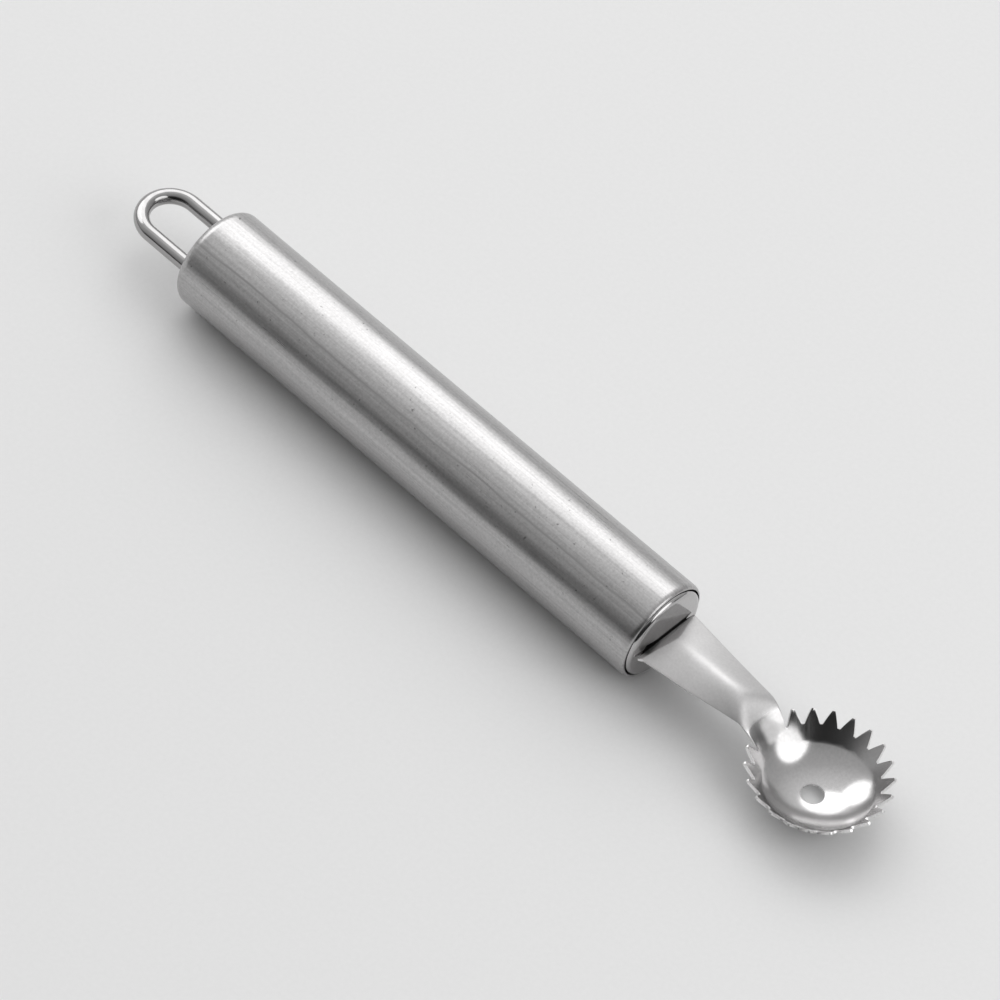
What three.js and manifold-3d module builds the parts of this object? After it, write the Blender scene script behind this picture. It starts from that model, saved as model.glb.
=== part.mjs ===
// A stainless steel strawberry huller: a tube handle closed by a pressed cap at each end,
// a wire hanging loop at the back and a stamped scoop with a toothed bowl at the front.
// Millimetres, +Z up, X along the handle towards the bowl; the handle lies on z = 0.
import * as THREE from 'three';
import { mergeVertices } from 'three/addons/utils/BufferGeometryUtils.js';
import Module from 'manifold-3d';

const wasm = await Module();
wasm.setup();

// Driving dimensions
const tubeDiameter = 20;
const tubeLength = 112.4;
const tubeWall = 0.6;
const mouthRound = 0.5;
const mouthRoll = 1.1;
const backRound = 2;
const fitGap = 0.3;

const capSheet = 0.6;
const capSkirt = 6;
const frontCapRound = 0.9;
const frontCapProud = 0.7;
const slotOpening = 1;

const wireDiameter = 3;
const loopWidth = 11;
const loopReach = 17.6;
const legReach = 7;

const scoopSheet = 0.8;
const tangWidth = 11.3;
const tangReach = 18;
const tangDrop = 0.16;
const shoulderWidth = 14.7;
const bendWidth = 8.6;
const bendReach = 23.2;
const neckEndWidth = 7.2;
const ridgeAtTube = 1.2;
const ridgeAtBowl = 3.75;
const edgeAtTube = -0.12;
const edgeAtBowl = 0.73;
const roundAtTube = 1.2;
const roundAtBowl = 4;
const hipSlope = 0.7;
const hipBlend = 0.4;
const frontHipFoot = 24.5;
const frontHipSlope = 0.42;
const frontHipBlend = 1.6;
const bendBlend = 2.5;

const bowlRadius = 15;
const bowlDepth = 7.5;
const bowlReach = 37.7;
const tipDrop = 0.8;
const toothTipRadius = 13;
const toothRootRadius = 11.2;
const toothCount = 20;
const toothFlat = 0.25;
const drainDiameter = 4.2;

// Facet counts
const tubeSides = 48;
const wireSides = 14;
const loopSteps = 40;
const arcSteps = 4;
const neckColumns = 14;
const hipRows = 8;
const plainRows = 5;
const bendRows = 10;
const rimShares = [0, 0.22, 0.44, 0.66, 0.85, 1];
const neckRimColumns = 6;

// Small allowances of the modelling
const leastRound = 0.05;
const shoulderStep = 0.04;
const neckSunk = 0.5;
const neckInset = 0.06;
const slopeStep = 0.02;

// Values that follow from the dimensions
const tubeRadius = tubeDiameter / 2;
const boreRadius = tubeRadius - tubeWall;
const capRadius = boreRadius - fitGap;
const flatsToCorners = 1 / Math.cos(Math.PI / tubeSides);
const wireRadius = wireDiameter / 2;
const backOpening = loopWidth / 2 + wireRadius + fitGap;
const shoulderRound = Math.min(backRound, tubeRadius - backOpening - tubeWall / 2);
const rearFace = -tubeLength + tubeWall + fitGap;
const shoulderPlace = frontCapProud + fitGap;
const tipHeight = -tipDrop;
const bowlBottom = tipHeight - bowlDepth;
const bowlCentre = bowlBottom + bowlRadius;

const steel = (color, roughness) => new THREE.MeshStandardMaterial({ color, roughness, metalness: 1 });

// A closed mesh made a solid for joining and cutting
function solidOf(geometry) {
  const bare = geometry.clone();
  bare.deleteAttribute('normal');
  bare.deleteAttribute('uv');
  const merged = mergeVertices(bare, 1e-5);
  return new wasm.Manifold(new wasm.Mesh({
    numProp: 3,
    vertProperties: new Float32Array(merged.attributes.position.array),
    triVerts: new Uint32Array(merged.index.array),
  }));
}

function geometryOf(solid) {
  const mesh = solid.getMesh();
  const geometry = new THREE.BufferGeometry();
  geometry.setAttribute('position', new THREE.BufferAttribute(new Float32Array(mesh.vertProperties), 3));
  geometry.setIndex(new THREE.BufferAttribute(new Uint32Array(mesh.triVerts), 1));
  geometry.computeVertexNormals();
  return geometry;
}

// A closed outline of [radius, x] turned about the handle's axis, with a flat facet underneath
function turned(outline) {
  const corners = outline.map(([radius, x]) => new THREE.Vector2(radius * flatsToCorners, x));
  corners.push(corners[0].clone());
  const lathe = new THREE.LatheGeometry(corners, tubeSides, Math.PI / tubeSides);
  return lathe.rotateZ(-Math.PI / 2);
}

// Points of an arc in [radius, x], angles measured from the radius axis towards +X;
// one with a length of its own along X is part of an ellipse
function arc(radius, x, size, from, to, length = size) {
  const points = [];
  for (let step = 0; step <= arcSteps; step += 1) {
    const angle = from + (to - from) * step / arcSteps;
    points.push([radius + size * Math.cos(angle), x + length * Math.sin(angle)]);
  }
  return points;
}

const quarter = Math.PI / 2;

// Handle tube: open at the mouth, x = 0, and rolled in at the back to leave room for the loop's legs
function handleTube() {
  const rollCentre = tubeRadius - shoulderRound;
  const rollPlace = -tubeLength + shoulderRound;
  return turned([
    [backOpening, -tubeLength],
    ...arc(rollCentre, rollPlace, shoulderRound, -quarter, 0),
    ...arc(tubeRadius - mouthRound, -mouthRoll, mouthRound, 0, quarter, mouthRoll),
    [boreRadius, 0],
    ...arc(rollCentre, rollPlace, shoulderRound - tubeWall, 0, -quarter),
    [backOpening, -tubeLength + tubeWall],
  ]);
}

// A drawn cup about the handle's axis: face at x = 0 looking along +X, skirt behind it
function cup(round) {
  const inner = Math.max(round - capSheet, leastRound);
  const innerRadius = capRadius - capSheet;
  return [
    [capRadius, -capSkirt],
    ...arc(capRadius - round, -round, round, 0, quarter),
    [0, 0],
    [0, -capSheet],
    ...arc(innerRadius - inner, -capSheet - inner, inner, quarter, 0),
    [innerRadius, -capSkirt],
  ];
}

// Front cap: the cup with a slot for the tang, opened up on one side
function frontCap() {
  const top = -tangDrop + fitGap;
  const bottom = -tangDrop - scoopSheet - fitGap;
  const half = tangWidth / 2 + fitGap;
  const slot = new THREE.Shape();
  slot.moveTo(-half, bottom);
  slot.lineTo(half, bottom);
  slot.lineTo(half, top);
  slot.lineTo(0, top);
  slot.lineTo(-half + slotOpening, top + slotOpening);
  slot.lineTo(-half, top);
  slot.closePath();
  const cutter = new THREE.ExtrudeGeometry(slot, { depth: 3 * capSheet, bevelEnabled: false });
  cutter.rotateX(quarter).rotateZ(quarter);
  cutter.translate(frontCapProud - 2 * capSheet, 0, 0);
  const face = turned(cup(frontCapRound)).translate(frontCapProud, 0, 0);
  return geometryOf(solidOf(face).subtract(solidOf(cutter)));
}

// Rear cap: the same cup turned to face backwards, following the rolled shoulder, with two leg holes
function rearCap() {
  const round = shoulderRound - tubeWall - fitGap;
  const face = turned(cup(round)).rotateZ(Math.PI).translate(rearFace, 0, 0);
  let cap = solidOf(face);
  for (const side of [-1, 1]) {
    const hole = new THREE.CylinderGeometry(wireRadius + fitGap, wireRadius + fitGap, 3 * capSheet, wireSides);
    hole.rotateZ(quarter).translate(rearFace + capSheet / 2, side * loopWidth / 2, 0);
    cap = cap.subtract(solidOf(hole));
  }
  return geometryOf(cap);
}

// Hanging loop: a round wire bent to a U, its legs passing through the rear cap
class LoopPath extends THREE.Curve {
  getPoint(t, target = new THREE.Vector3()) {
    const bend = loopWidth / 2;
    const bendPlace = -tubeLength - loopReach + wireRadius + bend;
    const leg = rearFace + capSheet + legReach - bendPlace;
    const turn = Math.PI * bend;
    const along = t * (2 * leg + turn);
    if (along < leg) {
      return target.set(bendPlace + leg - along, -bend, 0);
    }
    if (along > leg + turn) {
      return target.set(bendPlace + along - leg - turn, bend, 0);
    }
    const angle = (along - leg) / bend;
    return target.set(bendPlace - bend * Math.sin(angle), -bend * Math.cos(angle), 0);
  }
}

function hangingLoop() {
  const section = new THREE.Shape();
  section.absarc(0, 0, wireRadius, 0, 2 * Math.PI, false);
  return new THREE.ExtrudeGeometry(section, {
    steps: loopSteps,
    curveSegments: wireSides,
    extrudePath: new LoopPath(),
  });
}

// Height of the neck's upper face: the lowest of the hip that rises out of the tang, the creased roof,
// a softer hip at its front end, and a cone that carries the bowl's wall on above its rim
function lowest(a, b, blend) {
  const overlap = Math.max(blend - Math.abs(a - b), 0) / blend;
  return Math.min(a, b) - overlap * overlap * blend / 4;
}

function between(from, to, share) {
  return from + (to - from) * share;
}

const neckEnd = bowlReach - toothRootRadius;
const rimDepth = Math.sqrt(bowlRadius ** 2 - toothRootRadius ** 2);

function neckShare(x) {
  return (x - shoulderPlace) / (neckEnd - shoulderPlace);
}

// Half the neck's width: one taper to the bend, and a quicker one from there down to the bowl
function neckHalfWidth(x) {
  if (x < bendReach) {
    return between(shoulderWidth, bendWidth, (x - shoulderPlace) / (bendReach - shoulderPlace)) / 2;
  }
  return between(bendWidth, neckEndWidth, (x - bendReach) / (neckEnd - bendReach)) / 2;
}

function upperHeight(x, y) {
  const outside = Math.max(x, shoulderPlace);
  const share = neckShare(outside);
  const ridge = between(ridgeAtTube, ridgeAtBowl, share);
  const edge = between(edgeAtTube, edgeAtBowl, share ** 2);
  const ridgeRound = between(roundAtTube, roundAtBowl, share);
  const across = Math.hypot(y, ridgeRound) - ridgeRound;
  const full = Math.hypot(neckHalfWidth(outside), ridgeRound) - ridgeRound;
  const roof = ridge - (ridge - edge) * across / full;
  const hip = -tangDrop + (outside - shoulderPlace) * hipSlope;
  const reach = Math.hypot(x - bowlReach, y);
  const wall = bowlCentre - rimDepth + (reach - toothRootRadius) * toothRootRadius / rimDepth;
  const frontHip = edgeAtBowl + (frontHipFoot - x) * frontHipSlope;
  const neck = lowest(lowest(hip, roof, hipBlend), frontHip, frontHipBlend);
  return lowest(neck, wall, bendBlend);
}

// A point of the sheet, `deep` below its upper face along the face's own normal
function sheetPoint(x, y, deep) {
  const slopeX = (upperHeight(x + slopeStep, y) - upperHeight(x - slopeStep, y)) / (2 * slopeStep);
  const slopeY = (upperHeight(x, y + slopeStep) - upperHeight(x, y - slopeStep)) / (2 * slopeStep);
  const normal = new THREE.Vector3(-slopeX, -slopeY, 1).normalize();
  return new THREE.Vector3(x, y, upperHeight(x, y)).addScaledVector(normal, -deep);
}

// Bowl: a ring of sheet from the drain hole to the toothed rim; its grid closes both ways round
const neckHalfAngle = Math.asin(neckEndWidth / 2 / toothRootRadius);
const toothPitch = (2 * Math.PI - 2 * neckHalfAngle) / toothCount;

function rimColumns() {
  const columns = [];
  const rootFlat = toothFlat / toothRootRadius;
  const tipFlat = toothFlat / toothTipRadius;
  const firstRoot = -Math.PI + neckHalfAngle;
  for (let tooth = 0; tooth < toothCount; tooth += 1) {
    const root = firstRoot + tooth * toothPitch;
    const rise = [root + rootFlat / 2, root + toothPitch / 2 - tipFlat / 2];
    const fall = [root + toothPitch / 2 + tipFlat / 2, root + toothPitch - rootFlat / 2];
    const middle = (toothRootRadius + toothTipRadius) / 2;
    columns.push([rise[0], toothRootRadius], [between(rise[0], rise[1], 0.5), middle]);
    columns.push([rise[1], toothTipRadius], [fall[0], toothTipRadius]);
    columns.push([between(fall[0], fall[1], 0.5), middle], [fall[1], toothRootRadius]);
  }
  for (let column = 1; column < neckRimColumns; column += 1) {
    const angle = between(Math.PI - neckHalfAngle, Math.PI + neckHalfAngle, column / neckRimColumns);
    columns.push([angle, toothRootRadius]);
  }
  return columns;
}

function bowlRing() {
  const columns = rimColumns();
  const inside = rimShares.map((share) => [share, 0]);
  const outside = rimShares.toReversed().map((share) => [share, scoopSheet]);
  const loop = [...inside, ...outside];
  const grid = new THREE.PlaneGeometry(1, 1, columns.length, loop.length);
  const position = grid.attributes.position;
  for (let row = 0; row <= loop.length; row += 1) {
    const [share, deep] = loop[row % loop.length];
    for (let column = 0; column <= columns.length; column += 1) {
      const [angle, rim] = columns[column % columns.length];
      const reach = between(drainDiameter / 2, rim, share);
      const place = ringPoint(reach, angle, deep);
      position.setXYZ(row * (columns.length + 1) + column, place.x, place.y, place.z);
    }
  }
  return grid;
}

// A point of the bowl's wall, `deep` outside its spherical inner face
function ringPoint(reach, angle, deep) {
  const size = (bowlRadius + deep) / bowlRadius;
  const drop = Math.sqrt(bowlRadius ** 2 - reach ** 2) * size;
  const x = bowlReach + reach * size * Math.cos(angle);
  return new THREE.Vector3(x, reach * size * Math.sin(angle), bowlCentre - drop);
}

// Tang and neck: a flat bar bent to the sheet's height, its front end sunk into the bowl's rim
function tangAndNeck() {
  const hipEnd = shoulderPlace + (ridgeAtTube + tangDrop) / hipSlope + 1;
  const bendStart = neckEnd - 3 * bendBlend;
  const rows = [shoulderPlace - tangReach, shoulderPlace - shoulderStep, shoulderPlace];
  for (let row = 1; row <= hipRows; row += 1) {
    rows.push(between(shoulderPlace, hipEnd, row / hipRows));
  }
  for (let row = 1; row <= plainRows; row += 1) {
    rows.push(between(hipEnd, bendStart, row / plainRows));
  }
  for (let row = 1; row <= bendRows; row += 1) {
    rows.push(between(bendStart, neckEnd - neckInset, row / bendRows));
  }
  rows.push(neckEnd + neckInset, neckEnd + neckSunk);
  const bar = new THREE.BoxGeometry(1, 1, 1, rows.length - 1, neckColumns, 1);
  const position = bar.attributes.position;
  for (let index = 0; index < position.count; index += 1) {
    const row = Math.round((position.getX(index) + 0.5) * (rows.length - 1));
    const along = rows[row];
    const half = row < 2 ? tangWidth / 2 : neckHalfWidth(along);
    const y = 2 * position.getY(index) * half;
    const reach = bowlReach - along;
    const curl = THREE.MathUtils.clamp((along - bendStart) / (neckEnd - bendStart), 0, 1);
    const x = bowlReach - Math.sqrt(reach ** 2 - curl * y ** 2);
    const skin = along > neckEnd ? neckInset : 0;
    const deep = position.getZ(index) > 0 ? skin : scoopSheet - skin;
    const place = sheetPoint(x, y, deep);
    position.setXYZ(index, place.x, place.y, place.z);
  }
  return bar;
}

function serratedScoop() {
  return geometryOf(solidOf(bowlRing()).add(solidOf(tangAndNeck())));
}

// The object lies on the handle's lowest facet, with its origin under the middle of its length
const huller = new THREE.Group();
const outerTipRadius = toothTipRadius * (bowlRadius + scoopSheet) / bowlRadius;
const frontTip = bowlReach + outerTipRadius * Math.cos(toothPitch / 2 - toothFlat / toothTipRadius / 2);
const backTip = -tubeLength - loopReach;
huller.position.set(-(frontTip + backTip) / 2, 0, tubeRadius);

function addPiece(name, geometry, material) {
  const piece = new THREE.Mesh(geometry, material);
  piece.name = name;
  huller.add(piece);
}

addPiece('handle_tube', handleTube(), steel(0xb4b2b0, 0.32));
addPiece('front_cap', frontCap(), steel(0xc8c6c4, 0.18));
addPiece('rear_cap', rearCap(), steel(0xc0bebc, 0.25));
addPiece('hanging_loop', hangingLoop(), steel(0xcfcdca, 0.12));
addPiece('serrated_scoop', serratedScoop(), steel(0xc4c2c0, 0.3));

export default huller;
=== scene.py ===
import math

import bpy
import numpy as np
from mathutils import Matrix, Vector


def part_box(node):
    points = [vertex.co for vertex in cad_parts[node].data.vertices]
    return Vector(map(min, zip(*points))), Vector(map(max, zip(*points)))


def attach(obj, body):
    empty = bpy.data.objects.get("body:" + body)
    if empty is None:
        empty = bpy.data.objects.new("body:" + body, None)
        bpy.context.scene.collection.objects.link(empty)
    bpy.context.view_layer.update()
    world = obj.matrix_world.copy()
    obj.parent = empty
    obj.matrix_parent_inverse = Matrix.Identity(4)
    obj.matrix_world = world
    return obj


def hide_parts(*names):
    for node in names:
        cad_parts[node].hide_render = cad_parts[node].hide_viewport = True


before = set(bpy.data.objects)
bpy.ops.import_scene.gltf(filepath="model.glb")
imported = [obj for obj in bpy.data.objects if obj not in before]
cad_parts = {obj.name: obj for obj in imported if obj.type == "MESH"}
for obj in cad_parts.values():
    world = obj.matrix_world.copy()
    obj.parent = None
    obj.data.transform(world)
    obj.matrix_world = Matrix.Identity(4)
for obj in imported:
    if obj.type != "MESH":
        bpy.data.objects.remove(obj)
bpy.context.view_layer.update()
mm = 0.001


# Handle tube: a drawn stainless tube, its mouth edge rounded over and its back end rolled in
# to a round shoulder. It was polished lengthwise on a felt belt, which leaves a satin sheen
# with fine lines along it; the caps are pressed into its two ends.
tube_low, tube_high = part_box("handle_tube")
mouth = tube_high.x
tube_back = tube_low.x
tube_radius = (tube_high.z - tube_low.z) / 2
axis_height = (tube_high.z + tube_low.z) / 2
tube_wall = 0.6 * mm
mouth_round = 0.5 * mm
mouth_roll = 1.1 * mm
shoulder_round = 2.0 * mm
back_opening = 7.3 * mm


def arc(radius, x, size, start, end, length=None, steps=16):
    """Arc in (radius, x): a centre plus size times the cosine of an angle that sweeps evenly, and
    plus the same size, or a length of its own, times the sine."""
    angle = np.radians(np.linspace(start, end, steps))
    return np.stack([radius + size * np.cos(angle), x + (length or size) * np.sin(angle)], 1)


def turned(outline, turns=192):
    """Surface of revolution: each (radius, x) of the outline swept round the handle's axis."""
    angle = np.linspace(0, 2 * np.pi, turns, endpoint=False)
    radius, x = outline[:, :1], outline[:, 1:]
    rings = [x + 0 * angle, radius * np.cos(angle), radius * np.sin(angle) + axis_height]
    return np.stack(rings, 2)


def grid_faces(rows, columns, close_rows, close_columns):
    """Quads of a grid of points, joined last to first where it closes."""
    row = np.arange(rows if close_rows else rows - 1)[:, None]
    column = np.arange(columns if close_columns else columns - 1)[None, :]
    next_row = (row + 1) % rows
    next_column = (column + 1) % columns
    corners = [row * columns + column, row * columns + next_column,
               next_row * columns + next_column, next_row * columns + column]
    return np.stack(corners, 2).reshape(-1, 4)


def make_piece(name, points, faces, sharp_angle=40):
    """A mesh object from vertices and faces, smooth except at edges sharper than the angle."""
    mesh = bpy.data.meshes.new(name)
    mesh.from_pydata(points.reshape(-1, 3).tolist(), [], list(faces))
    mesh.update()
    mesh.polygons.foreach_set("use_smooth", np.ones(len(mesh.polygons), bool))
    mesh.set_sharp_from_angle(angle=math.radians(sharp_angle))
    piece = bpy.data.objects.new(name, mesh)
    bpy.context.scene.collection.objects.link(piece)
    return piece


def linear(hex_colour):
    """sRGB hex to linear red, green, blue and alpha."""
    channels = [int(hex_colour[i:i + 2], 16) / 255 for i in (1, 3, 5)]
    lit = [c / 12.92 if c <= 0.04045 else ((c + 0.055) / 1.055) ** 2.4 for c in channels]
    return (*lit, 1.0)


def add_node(tree, kind, links=(), **settings):
    """A node with its settings; a link is (input name or number, the socket that feeds it)."""
    node = tree.nodes.new(kind)
    for name, value in settings.items():
        if hasattr(node, name):
            setattr(node, name, value)
        else:
            node.inputs[name.replace("_", " ")].default_value = value
    for target, source in links:
        tree.links.new(node.inputs[target], source)
    return node


def new_material(name):
    """An empty node material and its node tree."""
    material = bpy.data.materials.new(name)
    material.use_nodes = True
    material.node_tree.nodes.clear()
    return material, material.node_tree


roll_centre = tube_radius - shoulder_round
roll_place = tube_back + shoulder_round
tube_outline = np.concatenate([
    [[back_opening, tube_back]],
    arc(roll_centre, roll_place, shoulder_round, -90, 0),
    arc(tube_radius - mouth_round, mouth - mouth_roll, mouth_round, 0, 90, mouth_roll),
    [[tube_radius - tube_wall, mouth]],
    arc(roll_centre, roll_place, shoulder_round - tube_wall, 0, -90),
    [[back_opening, tube_back + tube_wall]],
])
tube_rings = turned(tube_outline)
handle = make_piece("handle_tube_polished", tube_rings,
                    grid_faces(*tube_rings.shape[:2], True, True))

# Satin stainless: lengthwise lines half a millimetre apart, a grain of fine pits, broad cloudy patches
# of polish and small dark specks. A slow waviness left by drawing makes the reflections waver, and a
# faint ragged line shows where the strip's edges were welded before the tube was drawn. Real lines and
# pits are finer: they are drawn as coarse as they need to be to show.
line_length, line_width = 45 * mm, 0.45 * mm
cloud_size = 14 * mm
speck_size = 0.9 * mm
pit_size = 0.5 * mm
wave_length, wave_width, wave_depth = 24 * mm, 3 * mm, 0.05 * mm
grain_depth = 0.05 * mm
seam_angle = math.radians(35)
seam_width = 0.3 * mm
satin, tree = new_material("satin_stainless_tube")
place = add_node(tree, "ShaderNodeTexCoord")
along = add_node(tree, "ShaderNodeMapping", [("Vector", place.outputs["Object"])],
                 Scale=(1 / line_length, 1 / line_width, 1 / line_width))
lines = add_node(tree, "ShaderNodeTexNoise", [("Vector", along.outputs[0])],
                 Scale=1.0, Detail=3.0, Roughness=0.6)
clouds = add_node(tree, "ShaderNodeTexNoise", [("Vector", place.outputs["Object"])],
                  Scale=1 / cloud_size, Detail=4.0, Roughness=0.55)
specks = add_node(tree, "ShaderNodeTexNoise", [("Vector", place.outputs["Object"])],
                  Scale=1 / speck_size, Detail=2.0, Roughness=0.5)
speck_mask = add_node(tree, "ShaderNodeMapRange", [("Value", specks.outputs["Fac"])],
                      From_Min=0.69, From_Max=0.78)
pits = add_node(tree, "ShaderNodeTexNoise", [("Vector", place.outputs["Object"])],
                Scale=1 / pit_size, Detail=3.0, Roughness=0.7)
grain = add_node(tree, "ShaderNodeMath", [(0, pits.outputs["Fac"]), (1, lines.outputs["Fac"])],
                 operation="ADD")
grain_share = add_node(tree, "ShaderNodeMapRange", [("Value", grain.outputs[0])],
                       From_Min=0.6, From_Max=1.4)
tone = add_node(tree, "ShaderNodeMix", [("Factor", grain_share.outputs[0])], data_type="RGBA",
                A=linear("#9f9e9e"), B=linear("#c8c7c7"))
from_axis = add_node(tree, "ShaderNodeMapping", [("Vector", place.outputs["Object"])],
                     Location=(0, 0, -axis_height))
sideways = add_node(tree, "ShaderNodeVectorMath", [(0, from_axis.outputs[0])],
                    operation="DOT_PRODUCT")
sideways.inputs[1].default_value = (0, math.cos(seam_angle), math.sin(seam_angle))
upwards = add_node(tree, "ShaderNodeVectorMath", [(0, from_axis.outputs[0])],
                   operation="DOT_PRODUCT")
upwards.inputs[1].default_value = (0, -math.sin(seam_angle), math.cos(seam_angle))
near_side = add_node(tree, "ShaderNodeMath", [(0, upwards.outputs["Value"])],
                     operation="GREATER_THAN")
near_side.inputs[1].default_value = 0.0
ragged = add_node(tree, "ShaderNodeMapRange", [("Value", clouds.outputs["Fac"])],
                  To_Min=-2 * seam_width, To_Max=2 * seam_width)
off_seam = add_node(tree, "ShaderNodeMath",
                    [(0, sideways.outputs["Value"]), (1, ragged.outputs[0])], operation="ADD")
off_line = add_node(tree, "ShaderNodeMath", [(0, off_seam.outputs[0])], operation="ABSOLUTE")
seam_line = add_node(tree, "ShaderNodeMapRange", [("Value", off_line.outputs[0])],
                     From_Min=0.0, From_Max=seam_width, To_Min=0.9, To_Max=0.0)
worn = add_node(tree, "ShaderNodeMath", [(0, seam_line.outputs[0]), (1, pits.outputs["Fac"])],
                operation="MULTIPLY")
seam_mask = add_node(tree, "ShaderNodeMath", [(0, worn.outputs[0]), (1, near_side.outputs[0])],
                     operation="MULTIPLY")
seamed = add_node(tree, "ShaderNodeMix",
                  [("Factor", seam_mask.outputs[0]), ("A", tone.outputs["Result"])],
                  data_type="RGBA", B=linear("#7a7979"))
speckled = add_node(tree, "ShaderNodeMix",
                    [("Factor", speck_mask.outputs[0]), ("A", seamed.outputs["Result"])],
                    data_type="RGBA", B=linear("#7f7e7e"))
wear = add_node(tree, "ShaderNodeMath", [(0, clouds.outputs["Fac"]), (1, lines.outputs["Fac"])],
                operation="ADD")
rough = add_node(tree, "ShaderNodeMapRange", [("Value", wear.outputs[0])],
                 From_Min=0.6, From_Max=1.4, To_Min=0.26, To_Max=0.36)
slow = add_node(tree, "ShaderNodeMapping", [("Vector", place.outputs["Object"])],
                Scale=(1 / wave_length, 1 / wave_width, 1 / wave_width))
waves = add_node(tree, "ShaderNodeTexNoise", [("Vector", slow.outputs[0])], Scale=1.0, Detail=2.0)
wavy = add_node(tree, "ShaderNodeBump", [("Height", waves.outputs["Fac"])],
                Strength=1.0, Distance=wave_depth)
bump = add_node(tree, "ShaderNodeBump", [("Height", grain.outputs[0]), ("Normal", wavy.outputs[0])],
                Strength=0.1, Distance=grain_depth)
shader = add_node(tree, "ShaderNodeBsdfPrincipled",
                  [("Base Color", speckled.outputs["Result"]), ("Roughness", rough.outputs[0]),
                   ("Normal", bump.outputs[0])], Metallic=1.0)
add_node(tree, "ShaderNodeOutputMaterial", [("Surface", shader.outputs[0])])
handle.data.materials.append(satin)
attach(handle, "root")
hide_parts("handle_tube")


# Front cap: a cup drawn from thin stainless strip and pressed into the mouth, its flat face just
# proud of the tube. A slot is punched across the face for the tang, left open wider on one side.
# The face was buffed bright before the scoop went in.
cap_low, cap_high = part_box("front_cap")
cap_face = cap_high.x
cap_back = cap_low.x
cap_radius = (cap_high.y - cap_low.y) / 2
cap_round = 0.9 * mm
cap_sheet = 0.6 * mm
tang_drop = 0.16 * mm
sheet = 0.8 * mm
tang_half = 5.65 * mm
fit_gap = 0.3 * mm
slot_gap = 0.12 * mm
slot_headroom = 0.25 * mm
slot_rise = 1.1 * mm
slot_rise_start = -1.0 * mm
slot_peak_inset = 0.8 * mm
slot_top = axis_height - tang_drop + slot_headroom
slot_bottom = axis_height - tang_drop - sheet - slot_gap
slot_half = tang_half + slot_gap
slot_corners = np.array([
    [slot_half, (slot_top + slot_bottom) / 2], [slot_half, slot_top], [slot_rise_start, slot_top],
    [-slot_half + slot_peak_inset, slot_top + slot_rise], [-slot_half, slot_top],
    [-slot_half, slot_bottom], [slot_half, slot_bottom],
])
slot_angles = np.radians([0, 8, 105, 168, 176, 188, 352])


def slot_edge(angle):
    """Slot outline in (y, z): straight runs between its corners, each corner reached at its own angle."""
    loop = np.append(slot_angles, 2 * np.pi)
    y = np.interp(angle, loop, np.append(slot_corners[:, 0], slot_corners[0, 0]))
    z = np.interp(angle, loop, np.append(slot_corners[:, 1], slot_corners[0, 1]))
    return y, z


def slotted_cup(columns=192, face_rows=9):
    """Closed skin of the cup: rows run from the slot's edge out over the face to a circle,
    round the rim, along the skirt and back inside, each row a blend of slot outline and circle."""
    even = np.linspace(0, 2 * np.pi, columns, endpoint=False)
    angle = np.unique(np.round(np.concatenate([even, slot_angles]), 6))
    slot_y, slot_z = slot_edge(angle)
    inner_radius = cap_radius - cap_sheet
    inner_round = cap_round - cap_sheet
    flat = cap_radius - cap_round
    shares = np.linspace(0, 1, face_rows)[:, None]
    skin = np.concatenate([
        arc(flat, cap_face - cap_round, cap_round, 90, 0),
        [[cap_radius, cap_back]],
        [[inner_radius, cap_back]],
        arc(inner_radius - inner_round, cap_face - cap_sheet - inner_round, inner_round, 0, 90),
    ])

    def disc(radius, x, share):
        """Flat rows at one x: slot outline times one minus the share, plus circle times the share."""
        circle_y = radius * np.cos(angle)
        circle_z = axis_height + radius * np.sin(angle)
        y = slot_y * (1 - share) + circle_y * share
        z = slot_z * (1 - share) + circle_z * share
        return np.stack([x + 0 * y, y, z], 2)

    front = disc(flat, cap_face, shares[:-1])
    around = np.stack([skin[:, 1:] + 0 * angle, skin[:, :1] * np.cos(angle),
                       axis_height + skin[:, :1] * np.sin(angle)], 2)
    behind = disc(inner_radius - inner_round, cap_face - cap_sheet, shares[-2::-1])
    return np.concatenate([front, around, behind])


cup_rows = slotted_cup()
front_cap = make_piece("front_cap_buffed", cup_rows,
                       grid_faces(*cup_rows.shape[:2], True, True)[:, ::-1])

# Buffed stainless: nearly a mirror, with a faint haze of buffing marks half a millimetre across.
haze_size = 0.6 * mm
buffed, tree = new_material("buffed_stainless_cap")
place = add_node(tree, "ShaderNodeTexCoord")
haze = add_node(tree, "ShaderNodeTexNoise", [("Vector", place.outputs["Object"])],
                Scale=1 / haze_size, Detail=4.0, Roughness=0.6)
tone = add_node(tree, "ShaderNodeMix", [("Factor", haze.outputs["Fac"])], data_type="RGBA",
                A=linear("#aeadad"), B=linear("#c6c5c5"))
rough = add_node(tree, "ShaderNodeMapRange", [("Value", haze.outputs["Fac"])],
                 From_Min=0.3, From_Max=0.7, To_Min=0.1, To_Max=0.17)
shader = add_node(tree, "ShaderNodeBsdfPrincipled",
                  [("Base Color", tone.outputs["Result"]), ("Roughness", rough.outputs[0])], Metallic=1.0)
add_node(tree, "ShaderNodeOutputMaterial", [("Surface", shader.outputs[0])])
front_cap.data.materials.append(buffed)
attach(front_cap, "root")
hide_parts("front_cap")


# Rear cap: the same drawn cup, pressed against the inside of the rolled shoulder, with two holes
# for the loop's legs. Only its flat face shows, so the solid itself takes the buffed finish.
rear_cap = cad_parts["rear_cap"]
rear_cap.data.materials.clear()
rear_cap.data.materials.append(buffed)


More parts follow.
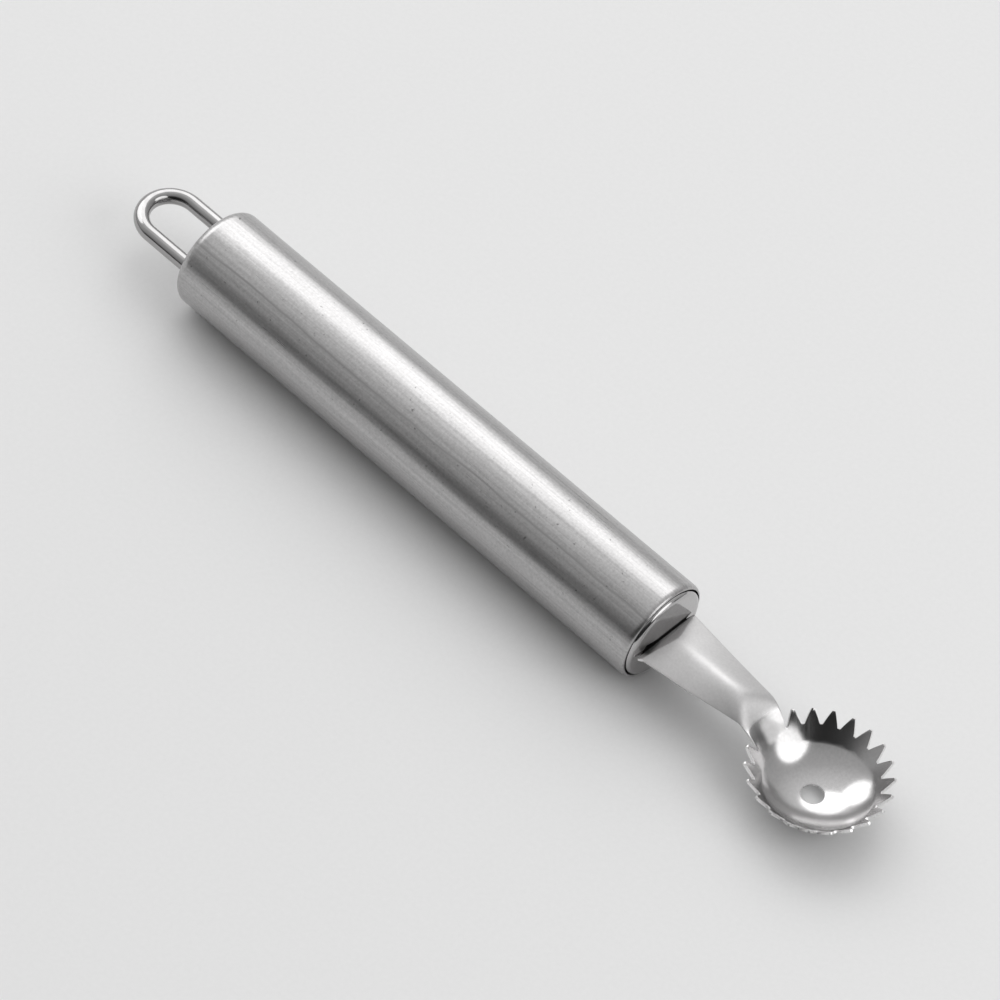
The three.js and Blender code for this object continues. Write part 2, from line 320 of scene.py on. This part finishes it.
# Hanging loop: bright drawn stainless wire bent to a U, its legs pushed through the rear cap
# and welded inside. Drawing leaves it smooth and glossy, with only faint lines along it.
loop_low, loop_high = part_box("hanging_loop")
wire_radius = (loop_high.z - loop_low.z) / 2
bend_radius = (loop_high.y - loop_low.y) / 2 - wire_radius
loop_centre = loop_low.x + wire_radius + bend_radius
leg_end = loop_high.x


def bent_wire(around=32, leg_steps=24, bend_steps=72):
    """Round wire along a U: a circle carried square to a path of two straight legs and a half turn."""
    angle = np.linspace(-np.pi / 2, np.pi / 2, bend_steps)
    legs = np.linspace(leg_end, loop_centre, leg_steps)[:-1]
    path_x = np.concatenate([legs, loop_centre - bend_radius * np.cos(angle), legs[::-1]])
    path_y = np.concatenate([0 * legs - bend_radius, bend_radius * np.sin(angle),
                             0 * legs + bend_radius])
    side_x = np.concatenate([0 * legs, -np.cos(angle), 0 * legs])
    side_y = np.concatenate([0 * legs - 1, np.sin(angle), 0 * legs + 1])
    turn = np.linspace(0, 2 * np.pi, around, endpoint=False)
    out, up = wire_radius * np.cos(turn), wire_radius * np.sin(turn)
    x = path_x[:, None] + side_x[:, None] * out
    y = path_y[:, None] + side_y[:, None] * out
    return np.stack([x, y, axis_height + up + 0 * x], 2)


wire_rings = bent_wire()
rings, around = wire_rings.shape[:2]
first_end = np.arange(around)
last_end = first_end[::-1] + (rings - 1) * around
wire_faces = grid_faces(rings, around, False, True).tolist()
wire_faces += [first_end.tolist(), last_end.tolist()]
loop = make_piece("hanging_loop_wire", wire_rings, wire_faces)

# Bright drawn wire: glossy stainless with drawing lines a third of a millimetre apart up its sides,
# which give its reflections a slightly broken edge.
drawn_line_size = (6 * mm, 1.2 * mm, 0.35 * mm)
bright, tree = new_material("bright_drawn_wire")
place = add_node(tree, "ShaderNodeTexCoord")
along = add_node(tree, "ShaderNodeMapping", [("Vector", place.outputs["Object"])],
                 Scale=tuple(1 / size for size in drawn_line_size))
lines = add_node(tree, "ShaderNodeTexNoise", [("Vector", along.outputs[0])], Scale=1.0, Detail=3.0)
tone = add_node(tree, "ShaderNodeMix", [("Factor", lines.outputs["Fac"])], data_type="RGBA",
                A=linear("#9a9999"), B=linear("#b6b5b5"))
rough = add_node(tree, "ShaderNodeMapRange", [("Value", lines.outputs["Fac"])],
                 From_Min=0.3, From_Max=0.7, To_Min=0.08, To_Max=0.15)
shader = add_node(tree, "ShaderNodeBsdfPrincipled",
                  [("Base Color", tone.outputs["Result"]), ("Roughness", rough.outputs[0])], Metallic=1.0)
add_node(tree, "ShaderNodeOutputMaterial", [("Surface", shader.outputs[0])])
loop.data.materials.append(bright)
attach(loop, "root")
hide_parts("hanging_loop")


# Serrated scoop: one stamping of stainless sheet. The tang goes through the front cap, the neck is
# creased to a low roof for stiffness and bends down into a round dish. A straight ring stands round
# the dish above a faint crease and is cut into pointed teeth, and the bottom has a drain hole.
tang_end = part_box("serrated_scoop")[0].x
shoulder = cap_face + fit_gap
shoulder_half = 7.35 * mm
bend_half = 4.3 * mm
neck_end_half = 3.6 * mm
bowl_axis = mouth + 37.7 * mm
bowl_radius = 15.0 * mm
bowl_bottom = axis_height - 8.3 * mm
root_radius = 11.2 * mm
tip_radius = 13.0 * mm
crease_radius = 9.9 * mm
crease_shift = 0.9 * mm
crease_turn = math.radians(-25)
crease_fade = 0.35  # radians on each side of the neck
tooth_count = 20
tooth_flat = 0.5 * mm
drain_radius = 2.1 * mm
shoulder_step = 0.25 * mm
trimmed_sheet = 0.55 * mm
tumbled_round = 0.17 * mm
weld_reach = 0.002 * mm
highlight_edge_material = 1
ridge_at_tube, ridge_at_bowl = 1.2 * mm, 3.75 * mm
edge_at_tube, edge_at_bowl = -0.12 * mm, 0.73 * mm
round_at_tube, round_at_bowl = 0.9 * mm, 1.5 * mm
ridge_drift = 1.0 * mm
near_lift = 0.66 * mm
near_lift_length = 9.0 * mm
hip_slope = 0.7
hip_blend = 0.12 * mm
front_hip_foot = mouth + 24.5 * mm
front_hip_slope = 0.42
front_hip_blend = 1.6 * mm
bend_blend = 2.5 * mm
bend_place = mouth + 23.2 * mm
rim_depth = math.sqrt(bowl_radius ** 2 - root_radius ** 2)
neck_end = bowl_axis - root_radius
neck_angle = math.asin(neck_end_half / root_radius)
tooth_pitch = (2 * math.pi - 2 * neck_angle) / tooth_count


def lowest(a, b, blend):
    """The lower of two heights, rounded off where they differ by less than the blend."""
    overlap = np.maximum(blend - np.abs(a - b), 0) / blend
    return np.minimum(a, b) - overlap ** 2 * blend / 4


def neck_half(x):
    """Half the neck's width: a straight taper to the bend, and a quicker one from there to the bowl."""
    return np.interp(x, [shoulder, bend_place, neck_end], [shoulder_half, bend_half, neck_end_half])


def upper_height(x, y):
    """Upper face of the neck: the lowest of a plane that rises from the tang, a creased roof whose ridge
    drifts to the near side, a plane that falls to the bend and a cone that carries the bowl's wall on
    above its rim, with a rounded bend where one passes into the next."""
    outside = np.maximum(x, shoulder)
    share = (outside - shoulder) / (neck_end - shoulder)
    ridge = ridge_at_tube + (ridge_at_bowl - ridge_at_tube) * share
    edge = edge_at_tube + (edge_at_bowl - edge_at_tube) * share ** 2
    lift = near_lift * np.clip(1 - (outside - shoulder) / near_lift_length, 0, 1)
    ridge_round = round_at_tube + (round_at_bowl - round_at_tube) * share
    off_ridge = y + ridge_drift * share
    edge = np.where(off_ridge < 0, edge + lift, edge)
    across = np.hypot(off_ridge, ridge_round) - ridge_round
    side_half = neck_half(outside) + np.sign(off_ridge) * ridge_drift * share
    full = np.hypot(side_half, ridge_round) - ridge_round
    roof = ridge - (ridge - edge) * across / full
    hip = -tang_drop + (outside - shoulder) * hip_slope
    above_rim = np.hypot(x - bowl_axis, y) - root_radius
    wall = bowl_bottom + bowl_radius - rim_depth + above_rim * root_radius / rim_depth
    front_hip = edge_at_bowl + (front_hip_foot - x) * front_hip_slope
    neck = lowest(lowest(hip, roof, hip_blend), front_hip, front_hip_blend)
    return lowest(neck + axis_height, wall, bend_blend)


def rim_outline(flank_steps=8):
    """Angle and radius round the rim: straight flanks between flat tooth tips and flat roots."""
    root_half = tooth_flat / root_radius / 2
    tip_half = tooth_flat / tip_radius / 2
    rise = np.linspace(0, 1, flank_steps)
    up = root_half + (tooth_pitch / 2 - tip_half - root_half) * rise
    angle = np.concatenate([up, tooth_pitch - up[::-1]])
    radius = root_radius + (tip_radius - root_radius) * np.concatenate([rise, rise[::-1]])
    starts = -math.pi + neck_angle + tooth_pitch * np.arange(tooth_count)
    return (starts[:, None] + angle).ravel(), np.tile(radius, tooth_count)


def bowl_height(reach, angle, crease):
    """Height of the bowl's upper face: a sphere out to the crease, and a straight cone from there to the
    tooth tips, which fades back into the sphere beside the neck."""
    sphere, foot, tip = (bowl_radius - np.sqrt(bowl_radius ** 2 - radius ** 2)
                         for radius in (reach, crease, tip_radius))
    cone = foot + (tip - foot) * (reach - crease) / (tip_radius - crease)
    from_neck = np.abs(math.pi - np.mod(angle, 2 * math.pi)) - neck_angle
    share = np.clip(from_neck / crease_fade, 0, 1) * (reach > crease)
    return bowl_bottom + sphere + (cone - sphere) * share


def scoop_sheet(neck_columns=40, dish_rows=30, ring_rows=10, neck_rows=150, tang_rows=12):
    """Upper face as one sheet: rays from the drain hole to the toothed rim, and a strip of rows that
    leaves the rim between the first and last tooth and runs back along the neck to the tang's end."""
    tooth_angle, tooth_rim = rim_outline()
    across = np.linspace(-1, 1, neck_columns)
    neck_rays = math.pi - np.arcsin(across * math.sin(neck_angle))
    angle = np.concatenate([tooth_angle, neck_rays[::-1]])
    rim = np.concatenate([tooth_rim, np.full(neck_columns, root_radius)])
    crease = crease_radius + crease_shift * np.cos(angle - crease_turn)
    dish = np.linspace(0, 1, dish_rows)[:, None]
    ring = np.linspace(0, 1, ring_rows)[1:, None]
    reach = np.concatenate([drain_radius + (crease - drain_radius) * dish,
                            crease + (rim - crease) * ring])
    bowl = np.stack([bowl_axis + reach * np.cos(angle), reach * np.sin(angle),
                     bowl_height(reach, angle, crease)], 2)

    bend_start = neck_end - 3 * bend_blend
    outer = np.linspace(neck_end, shoulder, neck_rows)
    inner = np.linspace(shoulder - shoulder_step, tang_end, tang_rows)
    row = np.concatenate([outer, inner])[:, None]
    half = np.where(row < shoulder, tang_half, neck_half(row))
    strip_y = np.sin(neck_rays[::-1]) / math.sin(neck_angle) * half
    curl = np.clip((row - bend_start) / (neck_end - bend_start), 0, 1)
    strip_x = bowl_axis - np.sqrt((bowl_axis - row) ** 2 - curl * strip_y ** 2)
    strip = np.stack([strip_x, strip_y, upper_height(strip_x, strip_y)], 2)

    bowl_faces = grid_faces(len(reach), len(angle), False, True)
    strip_faces = grid_faces(len(row), neck_columns, False, False) + bowl.shape[0] * bowl.shape[1]
    points = np.concatenate([bowl.reshape(-1, 3), strip.reshape(-1, 3)])
    return points, np.concatenate([bowl_faces[:, ::-1], strip_faces[:, ::-1]])


scoop_points, scoop_faces = scoop_sheet()
scoop = make_piece("serrated_scoop_stamped", scoop_points, scoop_faces, sharp_angle=60)
weld = scoop.modifiers.new("join strip to bowl", "WELD")
weld.merge_threshold = weld_reach
thick = scoop.modifiers.new("sheet thickness", "SOLIDIFY")
thick.thickness = trimmed_sheet
thick.offset = -1
thick.use_quality_normals = True
thick.material_offset_rim = highlight_edge_material
edges = scoop.modifiers.new("tumbled edges", "BEVEL")
edges.width = tumbled_round
edges.segments = 3
edges.limit_method = "ANGLE"
edges.angle_limit = math.radians(50)
edges.material = highlight_edge_material

# Stamped stainless: a tumbled satin skin with mottling half a millimetre across on the neck, which the
# press has burnished smoother inside the bowl. The tang inside the slot is given a near-black tone as
# painted shade, so that the slot reads as a black line.
burnish_radius = 14.2 * mm
burnish_edge = 0.4 * mm
slot_shade_edge = 0.1 * mm
mottle_size = 0.5 * mm
patch_size = 5 * mm
mottle_depth = 0.03 * mm
stamped, tree = new_material("stamped_stainless_scoop")
place = add_node(tree, "ShaderNodeTexCoord")
split = add_node(tree, "ShaderNodeSeparateXYZ", [("Vector", place.outputs["Object"])])
flat_place = add_node(tree, "ShaderNodeMapping", [("Vector", place.outputs["Object"])],
                      Location=(-bowl_axis, 0, 0), Scale=(1, 1, 0))
reach = add_node(tree, "ShaderNodeVectorMath", [(0, flat_place.outputs[0])], operation="LENGTH")
burnish = add_node(tree, "ShaderNodeMapRange", [("Value", reach.outputs["Value"])],
                   From_Min=burnish_radius + burnish_edge, From_Max=burnish_radius - burnish_edge)
mottle = add_node(tree, "ShaderNodeTexNoise", [("Vector", place.outputs["Object"])],
                  Scale=1 / mottle_size, Detail=4.0, Roughness=0.6)
patches = add_node(tree, "ShaderNodeTexNoise", [("Vector", place.outputs["Object"])],
                   Scale=1 / patch_size, Detail=3.0)
satin_tone = add_node(tree, "ShaderNodeMix", [("Factor", mottle.outputs["Fac"])], data_type="RGBA",
                      A=linear("#bfbebe"), B=linear("#d6d5d5"))
smooth_tone = add_node(tree, "ShaderNodeMix", [("Factor", mottle.outputs["Fac"])], data_type="RGBA",
                       A=linear("#b6b5b5"), B=linear("#cac9c9"))
skin_tone = add_node(tree, "ShaderNodeMix",
                     [("Factor", burnish.outputs[0]), ("A", satin_tone.outputs["Result"]),
                      ("B", smooth_tone.outputs["Result"])], data_type="RGBA")
# Painted shade: behind the shoulder, inside the slot, the sheet's tone goes near black.
outside = add_node(tree, "ShaderNodeMapRange", [("Value", split.outputs["X"])],
                   From_Min=shoulder - slot_shade_edge, From_Max=shoulder + slot_shade_edge)
tone = add_node(tree, "ShaderNodeMix",
                [("Factor", outside.outputs[0]), ("B", skin_tone.outputs["Result"])],
                data_type="RGBA", A=linear("#262524"))
satin_rough = add_node(tree, "ShaderNodeMapRange", [("Value", patches.outputs["Fac"])],
                       From_Min=0.3, From_Max=0.7, To_Min=0.45, To_Max=0.53)
smooth_rough = add_node(tree, "ShaderNodeMapRange", [("Value", patches.outputs["Fac"])],
                        From_Min=0.3, From_Max=0.7, To_Min=0.14, To_Max=0.2)
rough = add_node(tree, "ShaderNodeMix",
                 [("Factor", burnish.outputs[0]), ("A", satin_rough.outputs[0]),
                  ("B", smooth_rough.outputs[0])], data_type="FLOAT")
bump = add_node(tree, "ShaderNodeBump", [("Height", mottle.outputs["Fac"])],
                Strength=0.05, Distance=mottle_depth)
shader = add_node(tree, "ShaderNodeBsdfPrincipled",
                  [("Base Color", tone.outputs["Result"]), ("Roughness", rough.outputs[0]),
                   ("Normal", bump.outputs[0])], Metallic=1.0)
add_node(tree, "ShaderNodeOutputMaterial", [("Surface", shader.outputs[0])])
scoop.data.materials.append(stamped)

# Sheared edge: the freshly cut and tumbled rim of the sheet, painted much whiter than its skin as a
# painted highlight, so that every tooth, the neck's sides and the drain hole are drawn round with a thin
# bright line.
nick_size = 0.3 * mm
edge_painted_highlight, tree = new_material("sheared_edge_painted_highlight")
place = add_node(tree, "ShaderNodeTexCoord")
nicks = add_node(tree, "ShaderNodeTexNoise", [("Vector", place.outputs["Object"])],
                 Scale=1 / nick_size, Detail=3.0)
# The whiter tone is a painted highlight standing in for the glint of the rounded edges.
tone = add_node(tree, "ShaderNodeMix", [("Factor", nicks.outputs["Fac"])], data_type="RGBA",
                A=linear("#dedddd"), B=linear("#f4f3f3"))
rough = add_node(tree, "ShaderNodeMapRange", [("Value", nicks.outputs["Fac"])],
                 From_Min=0.3, From_Max=0.7, To_Min=0.25, To_Max=0.35)
shader = add_node(tree, "ShaderNodeBsdfPrincipled",
                  [("Base Color", tone.outputs["Result"]), ("Roughness", rough.outputs[0])], Metallic=1.0)
add_node(tree, "ShaderNodeOutputMaterial", [("Surface", shader.outputs[0])])
scoop.data.materials.append(edge_painted_highlight)
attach(scoop, "root")
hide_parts("serrated_scoop")


# Floor: a wide, plain pale sheet of studio paper that the handle lies on. It is matt, with a
# barely visible tooth.
floor_half = 3.0
tooth_size = 0.9 * mm
floor_points = np.array([[-1, -1, 0], [1, -1, 0], [1, 1, 0], [-1, 1, 0]]) * floor_half
floor = make_piece("pale_floor", floor_points, np.array([[0, 1, 2, 3]]))
paper, tree = new_material("pale_paper")
place = add_node(tree, "ShaderNodeTexCoord")
tooth = add_node(tree, "ShaderNodeTexNoise", [("Vector", place.outputs["Object"])],
                 Scale=1 / tooth_size, Detail=2.0)
tone = add_node(tree, "ShaderNodeMix", [("Factor", tooth.outputs["Fac"])], data_type="RGBA",
                A=linear("#e6e6e6"), B=linear("#ebebeb"))
shader = add_node(tree, "ShaderNodeBsdfPrincipled", [("Base Color", tone.outputs["Result"])],
                  Roughness=0.85)
add_node(tree, "ShaderNodeOutputMaterial", [("Surface", shader.outputs[0])])
floor.data.materials.append(paper)


# Light: four round soft lamps: a large one high behind the tool, one beyond the handle's end, one beyond
# the bowl and a small low one beside that. A grey room, lighter above and behind and darker towards the
# horizon, gives the metal its slow gradients.
def soft_box(name, direction, distance, width, height, power):
    """A round area lamp at a distance from the origin, facing it; sizes in metres, power in watts."""
    light = bpy.data.lights.new(name, "AREA")
    light.shape = "ELLIPSE"
    light.size = width
    light.size_y = height
    light.energy = power
    lamp = bpy.data.objects.new(name, light)
    bpy.context.scene.collection.objects.link(lamp)
    aim = np.array(direction) / np.linalg.norm(direction)
    lamp.location = aim * distance
    lamp.rotation_euler = lamp.location.to_track_quat("Z", "Y").to_euler()


soft_box("key_box", (-0.512, 0.549, 0.661), 1.2, 1.1, 0.95, 3.45)
soft_box("end_box", (-0.836, 0.06, 0.545), 1.2, 0.8, 0.8, 2.4)
soft_box("bowl_box", (0.776, 0.137, 0.616), 1.0, 0.9, 0.72, 2.8)
soft_box("low_box", (0.907, 0.366, 0.208), 1.0, 0.5, 0.32, 0.4)
light_side = (-0.55, 0.45, 0.70)
shades = ((0.17, "#444444"), (0.27, "#787878"), (0.37, "#acacac"), (0.5, "#bababa"),
          (0.69, "#c8c8c8"), (0.86, "#ececec"))
room = bpy.data.worlds.new("grey_room")
bpy.context.scene.world = room
room.use_nodes = True
tree = room.node_tree
tree.nodes.clear()
place = add_node(tree, "ShaderNodeTexCoord")
nearness = add_node(tree, "ShaderNodeVectorMath", [(0, place.outputs["Generated"])],
                    operation="DOT_PRODUCT")
nearness.inputs[1].default_value = light_side
share = add_node(tree, "ShaderNodeMapRange", [("Value", nearness.outputs["Value"])],
                 From_Min=-0.33, From_Max=1.0)
ceiling = add_node(tree, "ShaderNodeValToRGB", [("Fac", share.outputs[0])])
ramp = ceiling.color_ramp
ramp.elements[0].position, ramp.elements[0].color = 0.04, linear("#2c2c2c")
ramp.elements[1].position, ramp.elements[1].color = 0.99, linear("#ffffff")
for position, shade in shades:
    ramp.elements.new(position).color = linear(shade)
split = add_node(tree, "ShaderNodeSeparateXYZ", [("Vector", place.outputs["Generated"])])
skirting = add_node(tree, "ShaderNodeMapRange", [("Value", split.outputs["Z"])],
                    From_Min=0.0, From_Max=0.25, To_Min=0.74, To_Max=1.0)
backdrop = add_node(tree, "ShaderNodeBackground",
                    [("Color", ceiling.outputs["Color"]), ("Strength", skirting.outputs[0])])
add_node(tree, "ShaderNodeOutputWorld", [("Surface", backdrop.outputs[0])])


# Camera: a long lens well above the tool, looking along it from the bowl's side and rolled a little.
# Its place and focal length were fitted to the tube, the teeth, the drain hole and the loop.
view_azimuth = math.radians(34.44)
view_elevation = math.radians(51.14)
view_roll = math.radians(12.07)
view_distance = 0.9495
aim_point = np.array([5.36, -7.6, 20.4]) * mm
focal_pixels = 5457
image_pixels = 1000
sensor = 36
camera_data = bpy.data.cameras.new("photo_camera")
camera_data.sensor_width = sensor
camera_data.lens = sensor * focal_pixels / image_pixels
camera = bpy.data.objects.new("photo_camera", camera_data)
bpy.context.scene.collection.objects.link(camera)
level = math.cos(view_elevation)
backwards = np.array([math.sin(view_azimuth) * level, -math.cos(view_azimuth) * level,
                      math.sin(view_elevation)])
right = np.array([math.cos(view_azimuth), math.sin(view_azimuth), 0])
up = np.cross(backwards, right)
rolled_right = math.cos(view_roll) * right + math.sin(view_roll) * up
rolled_up = math.cos(view_roll) * up - math.sin(view_roll) * right
turn = np.eye(4)
turn[:3, 0] = rolled_right
turn[:3, 1] = rolled_up
turn[:3, 2] = backwards
turn[:3, 3] = aim_point + view_distance * backwards
camera.matrix_world = Matrix(turn.tolist())
camera_data.clip_start = 0.01
camera_data.clip_end = 20
bpy.context.scene.camera = camera
bpy.context.scene.view_settings.view_transform = "Standard"
